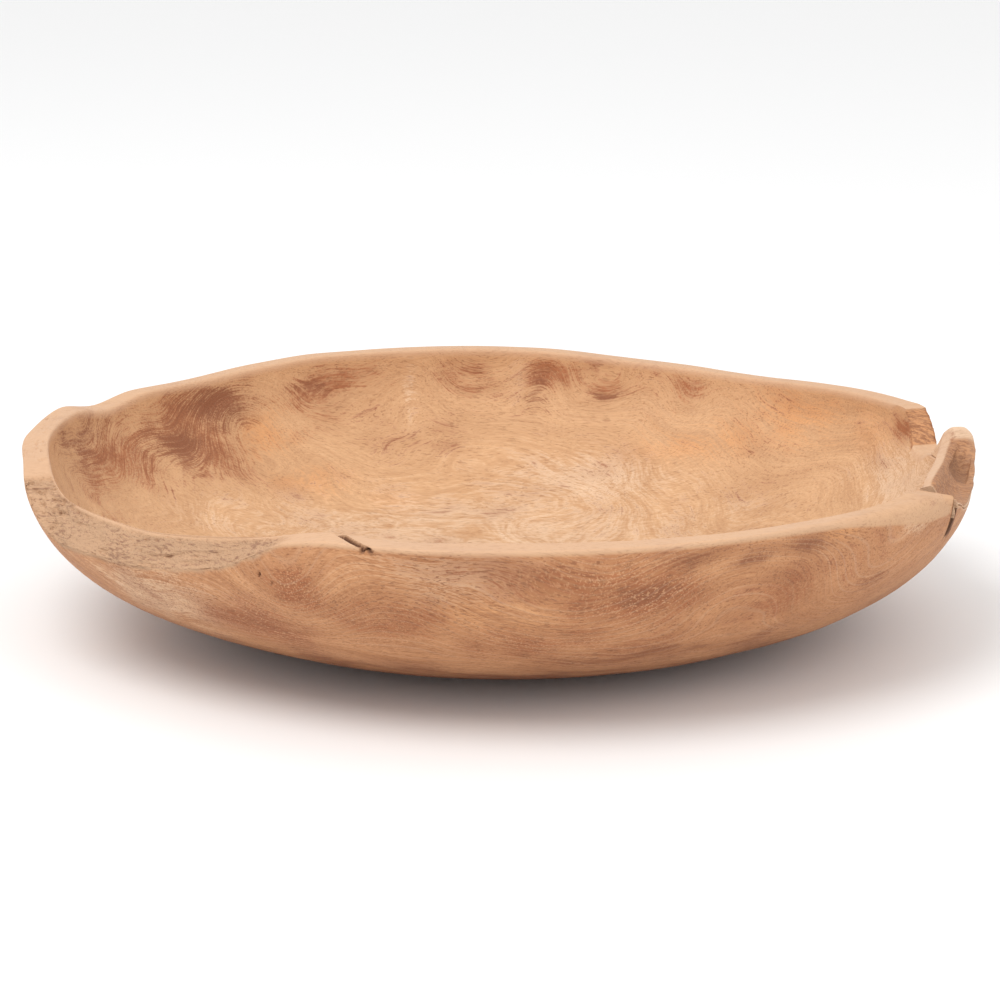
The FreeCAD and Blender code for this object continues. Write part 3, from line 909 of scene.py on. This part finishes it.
def grain_noises(wood, points, field):
    """The noises that the colour, the gloss and the relief are made from, by name."""
    swirl = wood.noise(wood.vector("MULTIPLY", points, (0.016, 0.02, 0.02)), 1.0, colour=True)
    swirl = wood.vector("MULTIPLY", wood.vector("SUBTRACT", swirl, (0.5, 0.5, 0.5)), (30, 30, 30))
    warped = wood.vector("ADD", points, swirl)
    slow = wood.vector("MULTIPLY", points, (0.012, 0.02, 0.02))
    slender = wood.vector("MULTIPLY", warped, (0.045, 0.10, 0.10))
    short = wood.vector("MULTIPLY", warped, (0.22, 1.1, 1.1))
    return {
        "band": wood.noise(slow, 2.0, 0.5, w=wood.math("MULTIPLY", field, 0.075)),
        "streak": wood.noise(slow, 3.0, 0.6, w=wood.math("MULTIPLY", field, 0.45)),
        "fine": wood.noise(slender, 2.0, 0.6, w=wood.math("MULTIPLY", field, 1.5)),
        "cloud": wood.noise(wood.vector("MULTIPLY", points, (0.024, 0.03, 0.05)), 3.0, 0.6),
        "fibre": wood.noise(wood.vector("MULTIPLY", warped, (0.13, 1.0, 1.0)), 2.0, 0.7),
        "pore": wood.noise(short, 1.0, 0.5, w=wood.math("MULTIPLY", field, 0.9)),
        "fleck": wood.noise(wood.vector("MULTIPLY", warped, (0.8, 1.5, 1.1)), 1.0),
        "scratch": wood.noise(wood.vector("MULTIPLY", points, (0.055, 0.3, 0.9)), 4.0, 0.65),
        "gouge": wood.noise(wood.vector("MULTIPLY", points, (0.055, 0.075, 0.09)), 1.0),
        "torn_fibre": wood.noise(wood.vector("MULTIPLY", warped, (0.12, 0.5, 1.1)), 3.0, 0.65),
    }


def painted_tones(wood):
    """The dark, red, orange and pale amounts that paint_tones put on the vertices."""
    tones = wood.node("ShaderNodeAttribute", attribute_name="tones")
    split = wood.node("ShaderNodeSeparateColor", tones.outputs["Color"])
    return (*split.outputs[:3], tones.outputs["Alpha"])


def toned(wood, colour, grain, tones):
    """A colour with the painted tones over it, their edges ragged along the grain."""
    dark, red, orange, pale = tones
    ragged = wood.total(
        wood.math("MULTIPLY", grain["streak"], 0.6),
        wood.math("MULTIPLY", grain["cloud"], 0.8),
        wood.math("MULTIPLY", grain["fine"], 0.8),
        wood.math("MULTIPLY", grain["fibre"], 0.6),
        -1.4,
    )
    for amount, tone in ((orange, ORANGE_TONE), (pale, PALE_TONE), (red, RED_TONE), (dark, DARK_TONE)):
        held = wood.ramp(wood.math("ADD", amount, wood.math("MULTIPLY", ragged, 1.8)), 0.14, 0.92)
        colour = wood.mix(held, colour, tone)
    return wood.mix(wood.ramp(grain["cloud"], 0.5, 0.85, 0.0, 0.25), colour, RED_TONE)


def grained(wood, colour, grain, strength):
    """A colour that is darker and lighter along the grain, at four scales."""
    for name, share in (("band", 0.55), ("streak", 0.55), ("fine", 0.6), ("fibre", 0.7)):
        tint = wood.mix(wood.ramp(grain[name], 0.25, 0.75), GRAIN_DARK, GRAIN_LIGHT)
        colour = wood.mix(wood.math("MULTIPLY", strength, share), colour, tint, "MULTIPLY")
    return colour


def ring_lines(wood, field, grain, outside, rim):
    """Where the thin pale lines of the growth rings show."""
    line = wood.ramp(wood.math("PINGPONG", field, RING_SPACING / 2), 0.0, 0.6, 1.0, 0.0)
    line = wood.math("MULTIPLY", line, wood.ramp(grain["band"], 0.35, 0.6, 0.15, 1.0))
    line = wood.math("MULTIPLY", line, wood.ramp(outside, 0.0, 1.0, 0.06, 0.17))
    return wood.math("MULTIPLY", line, wood.math("SUBTRACT", 1.0, rim))


def flecks(wood, grain, red, outside):
    """Where small bright flecks show: mostly in the red tone outside."""
    in_red = wood.math("MULTIPLY", wood.math("MULTIPLY", red, outside), 0.5)
    strength = wood.total(in_red, wood.ramp(grain["band"], 0.45, 0.62, 0.05, 0.25))
    return wood.math("MULTIPLY", wood.ramp(grain["fleck"], 0.53, 0.66), strength)


def add_relief(wood, grain, pores, scratches, rough):
    """Shallow gouges, fibres and pores, and deeper fibres on rough wood, as bump."""
    rough_relief = wood.math("SUBTRACT", wood.math("MULTIPLY", grain["torn_fibre"], 1.6), scratches)
    height = wood.total(
        wood.math("MULTIPLY", grain["gouge"], 0.8),
        wood.math("MULTIPLY", grain["streak"], 0.12),
        wood.math("MULTIPLY", grain["fine"], 0.08),
        wood.math("MULTIPLY", grain["fibre"], 0.12),
        wood.math("MULTIPLY", pores, -0.10),
        wood.math("MULTIPLY", rough_relief, rough),
    )
    bump = wood.node("ShaderNodeBump")
    bump.inputs["Strength"].default_value = 0.9
    bump.inputs["Distance"].default_value = MM
    wood.tree.links.new(height, bump.inputs["Height"])
    wood.tree.links.new(bump.outputs["Normal"], wood.shader.inputs["Normal"])


def make_wood(name, ground=None):
    """Oiled teak: drifting tones, growth rings, fibres, pores, weathered rough wood, and painted shade
    in crevices and towards the foot.
    The ground colour is the inside's and the outside's own unless one is given."""
    wood = Wood(name)
    points = wood.places()
    field = ring_field(wood, points)
    grain = grain_noises(wood, points, field)
    tones = painted_tones(wood)
    dark, red = tones[:2]
    outside = wood.value("outside")
    rough = wood.value("rough")
    rim = wood.value("rim")
    calm = wood.ramp(outside, 0.0, 1.0, 0.62, 1.0)

    colour = ground or wood.mix(outside, INSIDE_WOOD, OUTSIDE_WOOD)
    colour = toned(wood, colour, grain, tones)
    colour = grained(wood, colour, grain, calm)
    colour = wood.mix(wood.math("MULTIPLY", rim, 0.72), colour, SANDED_RIM)
    scratches = wood.total(grain["scratch"], wood.math("MULTIPLY", grain["cloud"], 0.3))
    weathered = wood.mix(wood.ramp(scratches, 0.66, 0.80), ROUGH_WOOD, ROUGH_SHADOW)
    colour = wood.mix(wood.math("MULTIPLY", rough, 0.9), colour, weathered)
    torn = wood.mix(wood.ramp(grain["fibre"], 0.4, 0.6), TORN_WOOD, TORN_SHADOW)
    colour = wood.mix(wood.math("MULTIPLY", wood.value("torn"), 0.9), colour, torn)

    more_in_tones = wood.math("MULTIPLY", wood.math("MAXIMUM", dark, red), 0.06)
    pores = wood.ramp(wood.math("ADD", grain["pore"], more_in_tones), 0.58, 0.68)
    fewer_on_rim = wood.math("SUBTRACT", calm, wood.math("MULTIPLY", rim, 0.45))
    patchy = wood.math("MULTIPLY", wood.ramp(grain["cloud"], 0.35, 0.65, 0.3, 0.75), fewer_on_rim)
    colour = wood.mix(wood.math("MULTIPLY", pores, patchy, limit=True), colour, PORE)
    colour = wood.mix(flecks(wood, grain, red, outside), colour, FLECK)
    colour = wood.mix(ring_lines(wood, field, grain, outside, rim), colour, PALE_TONE)
    # Painted shade: crevices darkened where shade falls.
    colour = wood.mix(wood.math("MULTIPLY", wood.value("crevice_shade"), 0.9), colour, CREVICE_SHADE)
    wood.tree.links.new(colour, wood.shader.inputs["Base Color"])

    gloss = wood.total(
        wood.ramp(grain["streak"], 0.3, 0.7, 0.56, 0.70),
        wood.math("MULTIPLY", pores, 0.1),
        wood.math("MULTIPLY", rough, 0.2),
    )
    wood.tree.links.new(gloss, wood.shader.inputs["Roughness"])
    wood.shader.inputs["Specular IOR Level"].default_value = 0.32
    add_relief(wood, grain, pores, scratches, rough)
    return wood.material


# ---- the stage, the lights and the camera ---------------------------------------------
CAMERA_ELEVATION = 15.0
CAMERA_DISTANCE = 1.6
CAMERA_LENS = 109.2
CAMERA_TARGET = (RIM_OFFSET * MM, 0.0, 0.0634)
# Lamps as (name, place in metres, size in metres, watts).
LAMPS = (("key", (-0.9, -0.9, 2.2), 1.6, 30), ("fill", (1.4, -1.2, 1.2), 1.5, 6))
LAMP_TARGET = Vector((0, 0, 0.05))
FLOOR_SIZE = 40
FLOOR_GREY = (0.86, 0.86, 0.86)


def plain_material(name, colour):
    material = bpy.data.materials.new(name)
    material.use_nodes = True
    shader = material.node_tree.nodes["Principled BSDF"]
    shader.inputs["Base Color"].default_value = (*colour, 1)
    shader.inputs["Roughness"].default_value = 0.6
    return material


def make_camera():
    data = bpy.data.cameras.new("camera")
    data.lens = CAMERA_LENS
    camera = bpy.data.objects.new("camera", data)
    bpy.context.scene.collection.objects.link(camera)
    rise = math.radians(CAMERA_ELEVATION)
    back = Vector((0, -math.cos(rise), math.sin(rise)))
    camera.location = Vector(CAMERA_TARGET) + back * CAMERA_DISTANCE
    camera.rotation_euler = (math.radians(90 - CAMERA_ELEVATION), 0, 0)
    bpy.context.scene.camera = camera


def make_lamp(name, place_m, size, power):
    data = bpy.data.lights.new(name, "AREA")
    data.shape = "DISK"
    data.size = size
    data.energy = power
    lamp = bpy.data.objects.new(name, data)
    bpy.context.scene.collection.objects.link(lamp)
    lamp.location = place_m
    lamp.rotation_euler = (LAMP_TARGET - Vector(place_m)).to_track_quat("-Z", "Y").to_euler()


def make_stage():
    bpy.ops.mesh.primitive_plane_add(size=FLOOR_SIZE, location=(0, 0, 0))
    floor = bpy.context.object
    floor.name = "floor"
    floor.data.materials.append(plain_material("pale_floor", FLOOR_GREY))
    world = bpy.data.worlds.new("studio")
    bpy.context.scene.world = world
    world.use_nodes = True
    world.node_tree.nodes["Background"].inputs["Color"].default_value = (1, 1, 1, 1)
    world.node_tree.nodes["Background"].inputs["Strength"].default_value = 1.0
    for lamp in LAMPS:
        make_lamp(*lamp)
    bpy.context.scene.view_settings.view_transform = "Standard"


# ---- putting the scene together ---------------------------------------------------------
body = make_body()
lobe = make_lobe()
splinters = [make_splinter(name, *shape) for name, shape in SPLINTERS.items()]
finishes = {
    "teak_body": make_wood("teak_body"),
    "teak_lobe": make_wood("teak_lobe", LOBE_WOOD),
    "teak_split": make_wood("teak_split", SPLIT_WOOD),
}
pieces = [(body, "bowl_body", "teak_body"), (lobe, "root_lobe", "teak_lobe")]
pieces += [(splinter, "split_slivers", "teak_split") for splinter in splinters]
for piece, node, slot in pieces:
    piece.data.materials.append(finishes[slot])
    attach(piece, "root")
    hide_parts(node)
make_camera()
make_stage()
